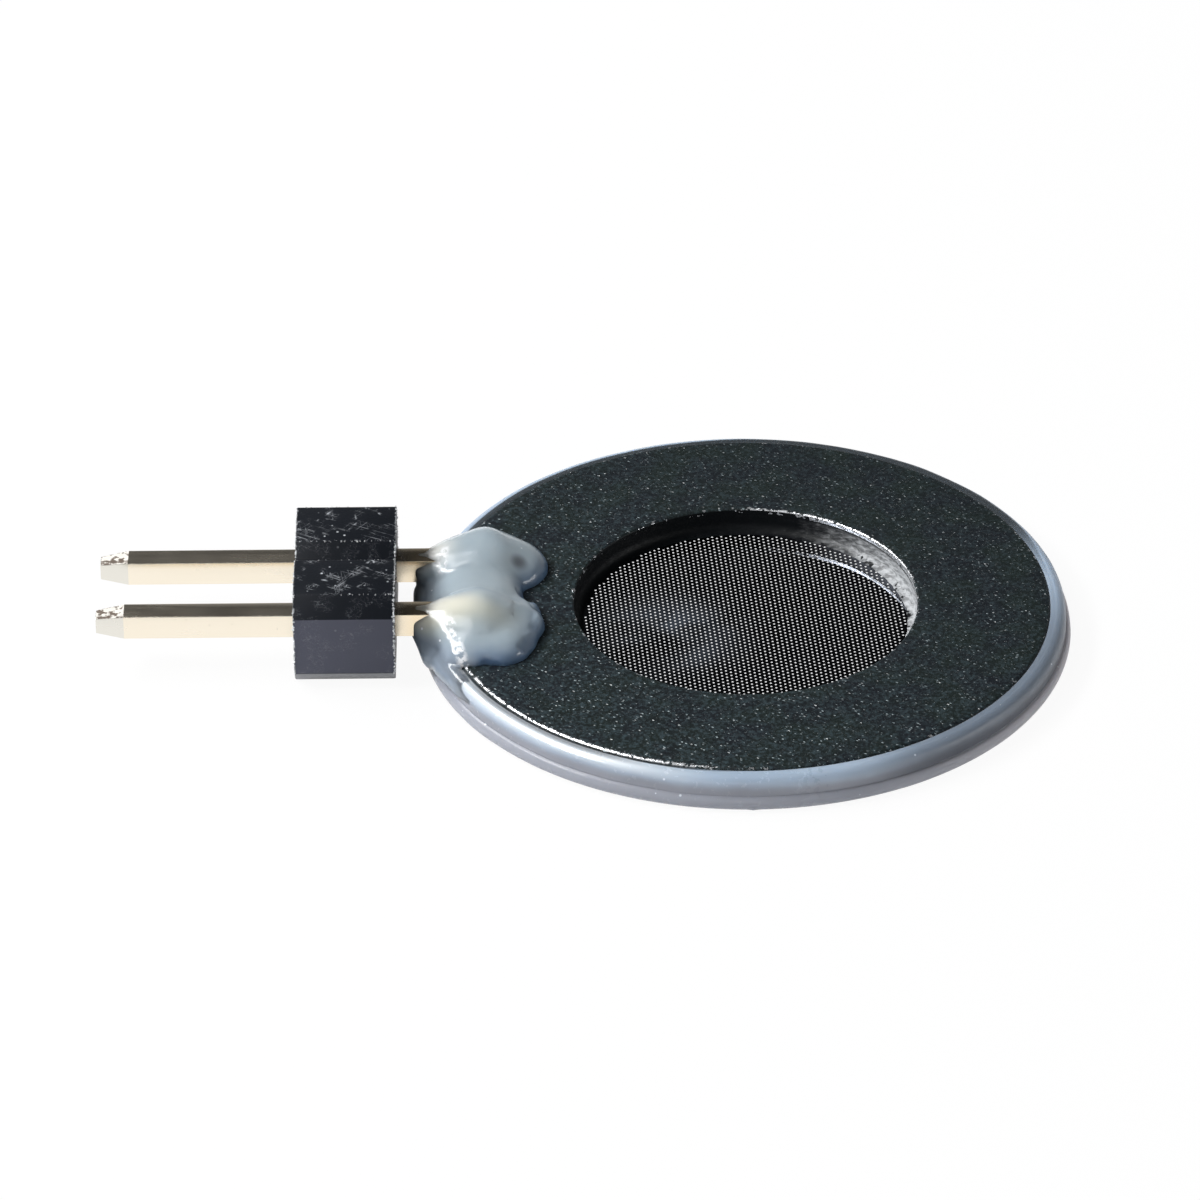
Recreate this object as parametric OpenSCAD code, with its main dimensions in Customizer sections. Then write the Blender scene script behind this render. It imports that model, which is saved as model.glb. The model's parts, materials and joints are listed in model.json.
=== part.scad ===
// Ultrasonic mesh transducer: a bonded piezo disc with a silicone edge seal and a two-pin header.
// Millimetres. The origin is on the disc's axis, in the plane that the disc and header rest on.
// +Z is the spray side, and the header's pins point along -X.

/* [Disc] */
// Radius of the disc: plate, glue, ring and coat
disc_r = 7.75; // [7.4:0.05:11]
// Thickness of the spray plate
plate_t = 0.03; // [0.02:0.01:0.1]
// Thickness of the glue between the plate and the ring
bond_t = 0.02; // [0.01:0.01:0.06]
// Thickness of the piezo ring
ring_t = 0.57; // [0.4:0.01:1.2]
// Thickness of the black coat over the ring
coat_t = 0.05; // [0.03:0.01:0.12]
// Thickness of the coat inside the ring's bore, where it pools
bore_coat_t = 0.18; // [0.16:0.01:0.3]
// Radius of the spray opening, inside the coat
spray_r = 4.37; // [3:0.01:4.8]
// Radius of the corner that the coat fills where it meets the plate
coat_fillet = 0.24; // [0.1:0.02:0.35]

/* [Edge seal] */
// Height of the lip under the plate
lip_h = 0.28; // [0.27:0.01:0.6]
// Radius of the liquid opening through the lip
liquid_r = 6.2; // [5:0.1:7]
// How far the upper lobe stands out from the disc
upper_lobe = 0.35; // [0.25:0.01:0.7]
// How far the lower lobe stands out from the disc
lower_lobe = 0.53; // [0.4:0.01:0.9]
// Radius of the lower lobe's round edge
lobe_r = 0.22; // [0.16:0.01:0.3]

/* [Header] */
// Spacing of the pins, which is also the width and height of each position of the housing
pitch = 2.54; // [2:0.02:3.2]
// Length of the housing along the pins
housing_l = 2.54; // [2:0.02:4]
// Chamfer along the four long edges of each position
housing_chamfer = 0.46; // [0.2:0.02:0.6]
// Gap between the seal and the housing
housing_gap = 0.6; // [0.4:0.05:3]
// Width of the square pins
pin_w = 0.64; // [0.4:0.02:0.8]
// Length of the pins beyond the housing
mating_l = 5.02; // [3:0.02:12]
// Length of the taper at a pin's tip
tip_l = 0.71; // [0.3:0.01:1.2]
// Width of the flat end of the tip
tip_w = 0.42; // [0.2:0.02:0.5]
// How far each tail reaches in over the disc
tail_reach = 1.85; // [1.3:0.05:2.4]

/* [Joints] */
// Width of the solder on each side of a tail
solder_side = 0.3; // [0.2:0.02:0.5]
// Length of the solder along a tail
solder_l = 1.1; // [0.6:0.05:1.2]
// Distance from the tail's end to the solder
solder_inset = 0.1; // [0.05:0.05:0.3]
// Height of the solder up the tail
solder_h = 0.36; // [0.2:0.02:0.6]
// Thickness of sealant over the pins
cover_t = 0.38; // [0.2:0.01:0.6]
// How far the sealant reaches in past the tails
sealant_reach = 0.86; // [0.5:0.02:0.9]
// How far the sealant spreads to each side of a pin's centre
sealant_side = 1.46; // [1:0.02:1.8]
// Half of the angle over which the sealant runs along the rim
rim_run = 34; // [20:1:45]
// Level down to which it runs over the seal's lower lobe
drip_z = 0.28; // [0.27:0.01:0.4]

/* [Hidden] */
$fn = 128;
eps = 0.01;

// Levels of the stack
plate_z = lip_h;
bond_z = plate_z + plate_t;
ring_z = bond_z + bond_t;
coat_z = ring_z + ring_t;
top_z = coat_z + coat_t;

// Radii of the ring and of the coat's foot on the plate
ring_bore_r = spray_r + bore_coat_t;
coat_foot_r = spray_r - coat_fillet;

// The lower lobe's centre, and the level of the upper lobe's centre
lobe_x = disc_r + lower_lobe - lobe_r;
upper_z = top_z - upper_lobe;

// The tails lie on the disc. The housing stands on the same plane as the disc, or hangs on its
// pins where the disc is too thick for that
housing_x = -(disc_r + lower_lobe + housing_gap);
pin_z = max(pitch / 2, top_z + pin_w / 2);
pin_tip_x = housing_x - housing_l - mating_l;
pin_tail_x = -(disc_r - tail_reach);

// The solder fills a window in the coat under each tail
window_w = pin_w + 2 * solder_side;
solder_x = pin_tail_x - solder_inset - solder_l;

// Facets round the sealant's beads, and round the seal's lobes where the sealant covers them
bead_fn = 16;
profile_fn = 48;

// Beads of sealant along each tail, from the housing inwards. Each is [how far it lies outside the
// disc's edge, how far outside the pin's line, its radius in X, and the shares of the sealant's
// spread beside the pin and of its cover over the pin]. The front one starts close to the housing.
front_beads = [
    [min(0.64, lower_lobe + housing_gap - 0.3), 0, 0.26, 0.07, 0.14],
    [0.02, 0.04, 0.6, 0.56, 0.57],
    [-0.9, 0.08, 0.8, 0.91, 0.9],
    [1.12 - tail_reach - sealant_reach, 0.02, 1.12, 1, 0.46]];
back_beads = [
    [0.46, 0, 0.24, 0.07, 0.14],
    [0.02, 0, 0.6, 0.38, 0.57],
    [-0.9, 0.12, 0.75, 0.77, 1],
    [0.87 - tail_reach - sealant_reach, 0.22, 0.87, 0.74, 0.3]];
pin_top = pin_z + pin_w / 2 - top_z;
spread = sealant_side - pin_w / 2;

// The bead that fills the valley between the tails
middle_in = 0.95;
middle_length = 1.25;
middle_cover = 0.3;

// Sealant that runs down over the rim: angles from the header's side as shares of rim_run, with
// the size of the bead there as a share of the upper lobe
rim_beads = [[-1, 0.35], [-0.66, 0.75], [-0.3, 1], [0, 1], [0.3, 1], [0.66, 0.75], [1, 0.35]];
// How far each stands out of the upper lobe, how far up it lies, and the size and the standing out
// of its run over the lower lobe. All but the second are shares of the bead's size
rim_out = 0.4;
rim_up = 0.1;
drip_size = 0.5;
drip_out = 0.1;

module seal_profile() {
    translate([liquid_r, 0])
        square([lobe_x - liquid_r, lip_h]);
    translate([lobe_x, lobe_r])
        circle(lobe_r);
    translate([disc_r, lobe_r])
        square([upper_lobe, upper_z - lobe_r]);
    translate([disc_r, 0])
        square([lobe_x - disc_r, 2 * lobe_r]);
    intersection() {
        translate([disc_r, upper_z])
            circle(upper_lobe);
        translate([disc_r, upper_z])
            square(upper_lobe);
    }
}

module edge_seal() {
    color("slategray")
        rotate_extrude()
            seal_profile();
}

module mesh_plate() {
    // The spray holes are far finer than a solid model can hold, so the plate is plain here
    color("dimgray")
        translate([0, 0, plate_z])
            cylinder(r = disc_r, h = plate_t);
}

module disc_layer(z, t, bore_r) {
    translate([0, 0, z])
        difference() {
            cylinder(r = disc_r, h = t);
            translate([0, 0, -eps])
                cylinder(r = bore_r, h = t + 2 * eps);
        }
}

module bond_film() {
    color("tan")
        disc_layer(bond_z, bond_t, ring_bore_r);
}

module piezo_ring() {
    color("wheat")
        disc_layer(ring_z, ring_t, ring_bore_r);
}

module coat_profile() {
    difference() {
        translate([coat_foot_r, bond_z])
            square([ring_bore_r - coat_foot_r, top_z - bond_z]);
        translate([coat_foot_r, bond_z + coat_fillet])
            circle(coat_fillet);
        translate([coat_foot_r - eps, bond_z + coat_fillet])
            square([coat_fillet + eps, top_z - bond_z]);
    }
    translate([ring_bore_r - eps, coat_z])
        square([disc_r - ring_bore_r + eps, coat_t]);
}

module insulating_coat() {
    color([0.14, 0.17, 0.18])
        difference() {
            rotate_extrude()
                coat_profile();
            for (side = [-1, 1])
                translate([solder_x, side * pitch / 2 - window_w / 2, coat_z - eps])
                    cube([solder_l, window_w, coat_t + 2 * eps]);
        }
}

module housing_position_profile() {
    h = pitch / 2;
    c = h - housing_chamfer;
    polygon([[-c, -h], [c, -h], [h, -c], [h, c], [c, h], [-c, h], [-h, c], [-h, -c]]);
}

module header_housing() {
    color([0.12, 0.13, 0.15])
        difference() {
            translate([housing_x - housing_l, 0, pin_z])
                rotate([90, 0, 90])
                    linear_extrude(housing_l) {
                        translate([-pitch / 2, 0])
                            housing_position_profile();
                        translate([pitch / 2, 0])
                            housing_position_profile();
                    }
            for (side = [-1, 1])
                translate([housing_x - housing_l - eps, side * pitch / 2 - pin_w / 2, pin_z - pin_w / 2])
                    cube([housing_l + 2 * eps, pin_w, pin_w]);
        }
}

// One side of a pin, drawn from its tip at the left to its tail, to be extruded through its width
module pin_side() {
    w = pin_w / 2;
    t = tip_w / 2;
    polygon([[pin_tip_x, -t], [pin_tip_x + tip_l, -w], [pin_tail_x, -w],
        [pin_tail_x, w], [pin_tip_x + tip_l, w], [pin_tip_x, t]]);
}

module header_pin(side) {
    color([0.85, 0.74, 0.5])
        translate([0, side * pitch / 2, pin_z])
            intersection() {
                linear_extrude(pin_w, center = true)
                    pin_side();
                rotate([90, 0, 0])
                    linear_extrude(pin_w, center = true)
                        pin_side();
            }
}

module header_pin_front() {
    header_pin(-1);
}

module header_pin_back() {
    header_pin(1);
}

// Places a shape drawn across a tail at the level of the ring's top, to run along the tail
module along_tail(side, x, length) {
    translate([x, side * pitch / 2, coat_z])
        rotate([90, 0, 90])
            linear_extrude(length)
                children();
}

// The outline of a joint: a bed in the coat's window, whose slopes meet the tail's sides at
// solder_h and run on inside it
module solder_outline() {
    w = window_w / 2;
    top_w = pin_w / 4;
    bed = pin_z - pin_w / 2 - coat_z;
    top = bed + solder_h * (w - top_w) / solder_side;
    polygon([[-w, 0], [w, 0], [w, bed], [top_w, top], [-top_w, top], [-w, bed]]);
}

// The outline of a tail, carried down to the top of the ring
module tail_outline() {
    translate([-pin_w / 2, 0])
        square([pin_w, pin_z + pin_w / 2 - coat_z]);
}

module solder_joint(side) {
    color("silver")
        along_tail(side, solder_x, solder_l)
            difference() {
                solder_outline();
                translate([0, pin_z - pin_w / 2 - coat_z])
                    tail_outline();
            }
}

module solder_joint_front() {
    solder_joint(-1);
}

module solder_joint_back() {
    solder_joint(1);
}

module tail_bead(b, side) {
    translate([-disc_r - b[0], side * (pitch / 2 + b[1]), top_z])
        scale([b[2], pin_w / 2 + b[3] * spread, pin_top + b[4] * cover_t])
            sphere(1, $fn = bead_fn);
}

module middle_bead() {
    translate([-disc_r + middle_in, 0, top_z])
        scale([middle_length, spread, pin_top + middle_cover * cover_t])
            sphere(1, $fn = bead_fn);
}

module rim_bead(b) {
    r = b[1] * upper_lobe;
    rotate(180 + b[0] * rim_run) {
        translate([disc_r + upper_lobe - (1 - rim_out) * r, 0, upper_z + rim_up])
            sphere(r, $fn = bead_fn);
        translate([disc_r + lower_lobe - (drip_size - drip_out) * r, 0,
            lobe_r + (drip_size - drip_out) * r])
            sphere(drip_size * r, $fn = bead_fn);
    }
}

module sealant_body() {
    for (i = [0:len(front_beads) - 2]) {
        hull() {
            tail_bead(front_beads[i], -1);
            tail_bead(front_beads[i + 1], -1);
        }
        hull() {
            tail_bead(back_beads[i], 1);
            tail_bead(back_beads[i + 1], 1);
        }
    }
    middle_bead();
    for (i = [0:len(rim_beads) - 2])
        hull() {
            rim_bead(rim_beads[i]);
            rim_bead(rim_beads[i + 1]);
        }
}

// The disc, its seal and all that is below drip_z as one turned shape, whose facets lie just outside
// the true surface
module covered_rim() {
    grow = 1 / cos(180 / $fn);
    scale([grow, grow, 1])
        rotate_extrude() {
            square([disc_r, top_z]);
            seal_profile($fn = profile_fn);
            translate([0, -top_z])
                square([2 * disc_r, top_z + drip_z]);
        }
}

module tail_sealant() {
    color([0.66, 0.71, 0.76])
        difference() {
            sealant_body();
            covered_rim();
            for (side = [-1, 1]) {
                along_tail(side, housing_x, pin_tail_x - housing_x)
                    tail_outline();
                along_tail(side, solder_x, solder_l)
                    solder_outline();
            }
        }
}

edge_seal();
mesh_plate();
bond_film();
piezo_ring();
insulating_coat();
header_housing();
header_pin_front();
header_pin_back();
solder_joint_front();
solder_joint_back();
tail_sealant();
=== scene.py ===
import json
import math
import random

import bpy
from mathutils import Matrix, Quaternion, Vector

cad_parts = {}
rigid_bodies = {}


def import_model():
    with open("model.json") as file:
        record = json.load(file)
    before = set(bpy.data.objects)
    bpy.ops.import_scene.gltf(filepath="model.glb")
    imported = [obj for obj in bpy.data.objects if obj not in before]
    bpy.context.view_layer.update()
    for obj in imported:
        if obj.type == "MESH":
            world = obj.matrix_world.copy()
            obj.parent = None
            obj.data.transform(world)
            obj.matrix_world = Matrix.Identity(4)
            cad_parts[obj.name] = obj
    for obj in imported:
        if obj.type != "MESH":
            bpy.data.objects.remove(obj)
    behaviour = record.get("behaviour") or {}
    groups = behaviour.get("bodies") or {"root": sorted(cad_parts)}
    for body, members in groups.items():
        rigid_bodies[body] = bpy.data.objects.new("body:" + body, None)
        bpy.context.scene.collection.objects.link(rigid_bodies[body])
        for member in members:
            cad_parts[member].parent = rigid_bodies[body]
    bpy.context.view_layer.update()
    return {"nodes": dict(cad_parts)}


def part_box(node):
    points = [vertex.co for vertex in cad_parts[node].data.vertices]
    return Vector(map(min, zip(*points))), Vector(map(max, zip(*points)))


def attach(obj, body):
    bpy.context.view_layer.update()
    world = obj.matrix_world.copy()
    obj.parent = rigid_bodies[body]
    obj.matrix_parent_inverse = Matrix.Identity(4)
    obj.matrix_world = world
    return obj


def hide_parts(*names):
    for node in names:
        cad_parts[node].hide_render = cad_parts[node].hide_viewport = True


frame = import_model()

random.seed(11)
mm = 0.001  # pieces are modelled in millimetres and shrunk to metres when they are done


# Small helpers for working by hand

def boxMm(node):
    low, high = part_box(node)
    return low / mm, high / mm


def objectMode():
    if bpy.context.mode != "OBJECT":
        bpy.ops.object.mode_set(mode="OBJECT")


def pickOnly(*objects):
    objectMode()
    bpy.ops.object.select_all(action="DESELECT")
    for obj in objects:
        obj.select_set(True)
    bpy.context.view_layer.objects.active = objects[0]


def pickInEdit(obj, kind, test):
    # leaves the object in edit mode with the vertices, edges or faces that pass the test selected
    pickOnly(obj)
    bpy.ops.object.mode_set(mode="EDIT")
    bpy.ops.mesh.select_mode(type=kind)
    bpy.ops.mesh.select_all(action="DESELECT")
    bpy.ops.object.mode_set(mode="OBJECT")
    mesh = obj.data
    if kind == "VERT":
        for vert in mesh.vertices:
            vert.select = test(vert.co)
    elif kind == "EDGE":
        for edge in mesh.edges:
            a, b = (mesh.vertices[i].co for i in edge.vertices)
            edge.select = test(a, b)
    else:
        for face in mesh.polygons:
            face.select = test(face)
    bpy.ops.object.mode_set(mode="EDIT")


def setInMesh():
    # the place, turn and size of the picked objects go into their meshes
    bpy.ops.object.transform_apply(location=True, rotation=True, scale=True)


def applyModifier(obj, kind, **settings):
    pickOnly(obj)
    modifier = obj.modifiers.new(kind.title(), kind)
    for name, value in settings.items():
        setattr(modifier, name, value)
    bpy.ops.object.modifier_apply(modifier=modifier.name)


def cutAway(obj, cutter):
    applyModifier(obj, "BOOLEAN", object=cutter, operation="DIFFERENCE", solver="MANIFOLD")
    pickOnly(cutter)
    bpy.ops.object.delete()


def joinInto(obj, *others):
    pickOnly(obj, *others)
    bpy.ops.object.join()
    return bpy.context.object


def arcPoints(centre, radius, startDeg, endDeg, steps):
    points = []
    for i in range(steps + 1):
        a = math.radians(startDeg + (endDeg - startDeg) * i / steps)
        points.append((centre[0] + radius * math.cos(a), centre[1] + radius * math.sin(a)))
    return points


def drawOutline(points, name):
    # one vertex, extruded from point to point in the XZ plane and closed
    bpy.ops.mesh.primitive_plane_add(size=0.1, location=(points[0][0], 0, points[0][1]))
    obj = bpy.context.object
    obj.name = name
    setInMesh()
    bpy.ops.object.mode_set(mode="EDIT")
    bpy.ops.mesh.select_mode(type="VERT")
    bpy.ops.mesh.select_all(action="SELECT")
    bpy.ops.mesh.merge(type="CENTER")
    for here, there in zip(points, points[1:] + points[:1]):
        step = (there[0] - here[0], 0, there[1] - here[1])
        bpy.ops.mesh.extrude_vertices_move(TRANSFORM_OT_translate={"value": step})
    bpy.ops.mesh.select_all(action="SELECT")
    bpy.ops.mesh.remove_doubles(threshold=0.0005)
    return obj


def spinRound(steps):
    # turns the outline that is open for editing into a ring
    bpy.ops.mesh.select_all(action="SELECT")
    bpy.ops.mesh.spin(steps=steps, angle=math.tau, center=(0, 0, 0), axis=(0, 0, 1))
    bpy.ops.mesh.select_all(action="SELECT")
    bpy.ops.mesh.remove_doubles(threshold=0.0005)
    bpy.ops.mesh.normals_make_consistent(inside=False)
    objectMode()


def addCube(low, high, name):
    centre = [(a + b) / 2 for a, b in zip(low, high)]
    bpy.ops.mesh.primitive_cube_add(size=1, location=centre)
    obj = bpy.context.object
    obj.name = name
    obj.scale = [b - a for a, b in zip(low, high)]
    setInMesh()
    return obj


def markVertices(obj, name, test):
    group = obj.vertex_groups.new(name=name)
    group.add([vert.index for vert in obj.data.vertices if test(vert.co)], 1.0, "REPLACE")


def jitter(obj, size, scale, group="", direction="RGB_TO_XYZ", depth=1):
    # gentle unevenness from a cloud texture
    texture = bpy.data.textures.new("unevenness", "CLOUDS")
    texture.noise_scale = scale
    texture.noise_depth = depth
    applyModifier(obj, "DISPLACE", texture=texture, strength=size, mid_level=0.5,
                  direction=direction, vertex_group=group)


def setSlots(obj, *materials):
    obj.data.materials.clear()
    for material in materials:
        obj.data.materials.append(material)


def finishPiece(obj, name, node, smoothAngle):
    pickOnly(obj)
    obj.scale = (mm, mm, mm)
    setInMesh()
    bpy.ops.object.shade_smooth_by_angle(angle=math.radians(smoothAngle))
    obj.name = name
    obj.data.name = name
    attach(obj, "root")
    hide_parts(node)
    print("made", name, len(obj.data.polygons), "faces")


# Helpers for materials; each finds its node tree from the sockets it is given

def plug(value, socket):
    # an output is linked in, and a plain number or colour is set on the socket itself
    if isinstance(value, bpy.types.NodeSocket):
        socket.id_data.links.new(value, socket)
    elif socket.type == "RGBA":
        socket.default_value = (*value, 1)
    else:
        socket.default_value = value


def addNode(tree, kind, **settings):
    node = tree.nodes.new(kind)
    column, row = divmod(len(tree.nodes), 8)
    node.location = (200 * column - 2400, 800 - 200 * row)
    for name, value in settings.items():
        if name in node.inputs:
            node.inputs[name].default_value = value
        else:
            setattr(node, name, value)
    return node


def addBeside(kind, values, **settings):
    # a new node in the tree that the first socket among the values belongs to
    tree = next(value.id_data for value in values if isinstance(value, bpy.types.NodeSocket))
    return addNode(tree, kind, **settings)


def addPlugged(kind, *values, **settings):
    # the values go into the new node's first sockets
    node = addBeside(kind, values, **settings)
    for value, socket in zip(values, node.inputs):
        plug(value, socket)
    return node


def addMath(operation, *values, clamp=False):
    return addPlugged("ShaderNodeMath", *values, operation=operation, use_clamp=clamp).outputs[0]


def times(first, *others):
    for other in others:
        first = addMath("MULTIPLY", first, other)
    return first


def largest(first, *others):
    for other in others:
        first = addMath("MAXIMUM", first, other)
    return first


def distanceFrom(value, level):
    # how far a number is from a level, to either side
    return addMath("ABSOLUTE", addMath("SUBTRACT", value, level))


def addRange(value, fromLow, fromHigh, toLow=0.0, toHigh=1.0, kind="LINEAR"):
    node = addPlugged("ShaderNodeMapRange", value, fromLow, fromHigh, toLow, toHigh, interpolation_type=kind)
    return node.outputs["Result"]


def addFade(value, fromLow, fromHigh, toLow=0.0, toHigh=1.0):
    return addRange(value, fromLow, fromHigh, toLow, toHigh, "SMOOTHSTEP")


def addMix(share, a, b):
    node = addBeside("ShaderNodeMix", (share, a, b), data_type="RGBA", blend_type="MIX")
    for value, i in ((share, 0), (a, 6), (b, 7)):
        plug(value, node.inputs[i])
    return node.outputs[2]


def addNoise(vector, scale, detail, roughness=0.5, distortion=0.0):
    node = addPlugged("ShaderNodeTexNoise", vector,
                      Detail=detail, Roughness=roughness, Distortion=distortion)
    plug(scale, node.inputs["Scale"])
    return node.outputs["Fac"]


def addVector(operation, *values):
    node = addPlugged("ShaderNodeVectorMath", *values, operation=operation)
    return node.outputs["Value" if operation in ("LENGTH", "DISTANCE", "DOT_PRODUCT") else "Vector"]


def addTurn(vector, angle):
    node = addPlugged("ShaderNodeVectorRotate", vector, rotation_type="Z_AXIS")
    plug(angle, node.inputs["Angle"])
    return node.outputs[0]


def addFlat(place):
    # the same spot at the level of the table, so that its length is its distance from the disc's axis
    return addVector("MULTIPLY", place, (1.0, 1.0, 0.0))


def addTowards(vector, angle):
    # how far the vector reaches in one direction round the axis
    return addVector("DOT_PRODUCT", vector, (math.cos(angle), math.sin(angle), 0.0))


def addDistance(place, spotMm):
    return addVector("DISTANCE", place, [value * mm for value in spotMm])


def splitXyz(vector):
    return list(addPlugged("ShaderNodeSeparateXYZ", vector).outputs)


def newMaterial(name):
    material = bpy.data.materials.new(name)
    material.use_nodes = True
    tree = material.node_tree
    return material, tree.nodes["Principled BSDF"], addNode(tree, "ShaderNodeTexCoord").outputs["Object"]


def setLook(shader, colour, rough, metallic=0.0, specular=0.5):
    plug(colour, shader.inputs["Base Color"])
    plug(rough, shader.inputs["Roughness"])
    plug(metallic, shader.inputs["Metallic"])
    plug(specular, shader.inputs["Specular IOR Level"])


def scatterLight(shader, weight, radius, scaleMm):
    shader.inputs["Subsurface Weight"].default_value = weight
    shader.inputs["Subsurface Radius"].default_value = radius
    shader.inputs["Subsurface Scale"].default_value = scaleMm * mm


def addBump(shader, height, depthMm, strength):
    bump = addNode(shader.id_data, "ShaderNodeBump", Strength=strength, Distance=depthMm * mm)
    plug(height, bump.inputs["Height"])
    plug(bump.outputs[0], shader.inputs["Normal"])


def makeCloudedMaterial(name, perMm, detail, colours, roughness, bumpMm, bumpStrength, metallic=0.0):
    # a plain finish that only changes a little from spot to spot
    material, shader, place = newMaterial(name)
    cloud = addNoise(place, perMm / mm, detail)
    setLook(shader, addMix(cloud, *colours), addRange(cloud, 0.3, 0.7, *roughness), metallic)
    addBump(shader, cloud, bumpMm, bumpStrength)
    return material


# Effects that the materials share

def newGroup(name, settings, outputs):
    tree = bpy.data.node_groups.new(name, "ShaderNodeTree")
    tree.interface.new_socket("Vector", in_out="INPUT", socket_type="NodeSocketVector")
    for label, value in settings.items():
        socket = tree.interface.new_socket(label, in_out="INPUT", socket_type="NodeSocketFloat")
        socket.default_value = value
    for label in outputs:
        tree.interface.new_socket(label, in_out="OUTPUT", socket_type="NodeSocketFloat")
    return tree, addNode(tree, "NodeGroupInput").outputs, addNode(tree, "NodeGroupOutput").inputs


def useGroup(group, vector, **settings):
    return addPlugged("ShaderNodeGroup", vector, node_tree=group, **settings).outputs


def makeSpecks(name, dimensions):
    # scattered grains: each cell of a Voronoi pattern may hold one, of its own size and brightness
    tree, given, result = newGroup(name, {"PerMm": 8.0, "Size": 0.2, "Share": 0.3}, ("Mask", "Bright"))
    cells = addPlugged("ShaderNodeTexVoronoi", given["Vector"], voronoi_dimensions=dimensions)
    plug(times(given["PerMm"], 1 / mm), cells.inputs["Scale"])
    parts = addPlugged("ShaderNodeSeparateColor", cells.outputs["Color"])
    chosen = addMath("LESS_THAN", parts.outputs[0], given["Share"])
    reach = times(parts.outputs[1], given["Size"])
    inside = addMath("SUBTRACT", reach, cells.outputs["Distance"])
    soft = addMath("DIVIDE", inside, given["Size"])
    soft = addMath("MULTIPLY", soft, 4.0, clamp=True)
    plug(times(soft, chosen), result["Mask"])
    plug(parts.outputs[2], result["Bright"])
    return tree


def makeScratches():
    # short fine lines: bands of a noise stretched along one direction, kept only in patches
    tree, given, result = newGroup("scratches", {"Turn": 0.4, "PerMm": 14.0, "Share": 0.3}, ("Mask",))
    turned = addTurn(given["Vector"], given["Turn"])
    stretched = addVector("MULTIPLY", turned, (0.06 / mm, 1 / mm, 1 / mm))
    waves = addNoise(stretched, given["PerMm"], 1.0, 0.5, 0.4)
    line = addRange(distanceFrom(waves, 0.5), 0.0, 0.012, 1.0, 0.0)
    patches = addNoise(given["Vector"], 2.2 / mm, 2.0)
    limit = addMath("SUBTRACT", 0.75, given["Share"])
    kept = addMath("MULTIPLY", addMath("SUBTRACT", patches, limit), 12.0, clamp=True)
    plug(times(line, kept), result["Mask"])
    return tree


def makeEdgeWear():
    # 1 along sharp edges, where the normal of a rounded surface leaves the true one, broken up by noise
    tree, given, result = newGroup("edgeWear", {"WidthMm": 0.03, "PerMm": 10.0, "Share": 0.5}, ("Mask",))
    rounded = addNode(tree, "ShaderNodeBevel", samples=6)
    plug(times(given["WidthMm"], mm), rounded.inputs["Radius"])
    trueNormal = addNode(tree, "ShaderNodeNewGeometry").outputs["Normal"]
    edge = addRange(addVector("DOT_PRODUCT", rounded.outputs[0], trueNormal), 0.98, 0.9)
    broken = addNoise(given["Vector"], times(given["PerMm"], 1 / mm), 3.0, 0.7)
    limit = addMath("SUBTRACT", 1.0, given["Share"])
    kept = addMath("MULTIPLY", addMath("SUBTRACT", broken, limit), 14.0, clamp=True)
    plug(times(edge, kept), result["Mask"])
    return tree


specks = makeSpecks("specks", "3D")
flatSpecks = makeSpecks("flatSpecks", "2D")  # for faces that look up
scratches = makeScratches()
edgeWear = makeEdgeWear()
print("made the shared effects")


# Edge seal

plateLow, plateHigh = boxMm("mesh_plate")
coatLow, coatHigh = boxMm("insulating_coat")
sealLow, sealHigh = boxMm("edge_seal")
discR = plateHigh.x
topZ = coatHigh.z

seal = {
    "liquidR": 6.2,
    "lobeR": 0.22,
    "bulgeR": 8.155,
    "shoulderR": 0.28,
    "creaseR": 8.158,
    "creaseZ": 0.405,
    "topDrop": 0.04,      # how far the seal stops below the coat's top
    "grooveDrop": 0.06,   # and how deep the seam is where they meet
    "grooveW": 0.11,
    "steps": 320,
    "unevenMm": 0.02,
    "flashMm": 0.05,
    "flashDeg": (-62, -38),
    "nibAt": 0.04,        # the nib's place along the front of the foot
    "nibMm": 0.03,
    "outsideR": 8.1,      # what is further out than this is the foot's edge
    "shadedAt": math.radians(326),
    "sheenAt": math.radians(226),
    "lobeColours": ((0.31, 0.325, 0.37), (0.50, 0.49, 0.53)),
    "flankColours": ((0.25, 0.265, 0.305), (0.32, 0.335, 0.38)),
    "topSheenColours": ((0.33, 0.42, 0.54), (0.40, 0.49, 0.60)),
}


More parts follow.
